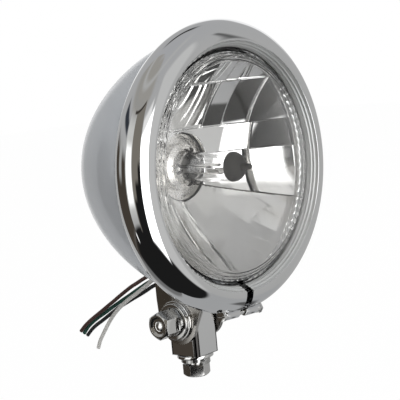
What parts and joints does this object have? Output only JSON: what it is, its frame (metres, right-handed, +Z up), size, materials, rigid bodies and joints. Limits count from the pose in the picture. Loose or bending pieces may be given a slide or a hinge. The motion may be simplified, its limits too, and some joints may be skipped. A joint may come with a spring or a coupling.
{
  "type": "round motorcycle headlight",
  "caption": "Round chromed motorcycle headlight with a domed clear lens, stepped reflector and halogen bulb, on a tilting bottom mount with a clamped pivot.",
  "frame": {"origin": "centre of the mount block's underside, on the mount bolt's axis", "axes": "+Z up along the mount bolt, +X to the right seen from the front along the pivot, and the lens faces -Y"},
  "size_m": [0.165, 0.1617, 0.2074],
  "materials": {
    "chrome_shell": "polished chrome plate",
    "chrome_ring": "polished chrome plate",
    "chrome_block": "polished chrome plate",
    "chrome_bracket": "chrome plate over stamped steel",
    "bright_steel": "bright plated",
    "spring_steel": "bright spring steel",
    "lens_glass": "clear glass",
    "reflector_mirror": "vacuum metallised",
    "bulb_glass": "clear quartz with a black tip",
    "bulb_metal": "satin nickel",
    "filament": "tungsten and molybdenum",
    "terminal_brass": "plain brass",
    "plug_plastic": "moulded",
    "black_rubber": "moulded rubber",
    "sleeve_plastic": "soft sleeve",
    "lead_brown": "flexible insulation",
    "lead_green": "flexible insulation",
    "lead_black": "flexible insulation",
    "lead_white": "flexible insulation"
  },
  "bodies": {
    "mount": {"mount_block": "chrome_block", "mount_bolt": "bright_steel", "mount_flat_washer": "bright_steel", "mount_spring_washer": "spring_steel", "pivot_bolt": "bright_steel", "pivot_cap_nut": "bright_steel", "pivot_flat_washers": "bright_steel", "pivot_spring_washer": "spring_steel"},
    "head": {"bracket": "chrome_bracket", "bracket_screws": "bright_steel", "bracket_nuts": "bright_steel", "shell": "chrome_shell", "wire_grommet": "black_rubber", "harness_sleeve": "sleeve_plastic", "lead_brown": "lead_brown", "lead_green": "lead_green", "lead_black": "lead_black", "lead_white": "lead_white", "trim_ring": "chrome_ring", "clamp_screw": "bright_steel", "clamp_nut": "bright_steel", "unit_clips": "spring_steel", "lens": "lens_glass", "lens_seal": "black_rubber", "reflector": "reflector_mirror", "bulb_glass": "bulb_glass", "bulb_filaments": "filament", "bulb_dip_shield": "filament", "bulb_base": "bulb_metal", "bulb_terminals": "terminal_brass", "bulb_clip": "spring_steel", "bulb_connector": "plug_plastic", "dust_boot": "black_rubber"}
  },
  "joints": [
    {"name": "tilt", "type": "hinge", "parent": "mount", "child": "head", "pos_m": [0, 0, 0.0225], "axis": [1, 0, 0], "range_deg": [-20, 20]}
  ]
}
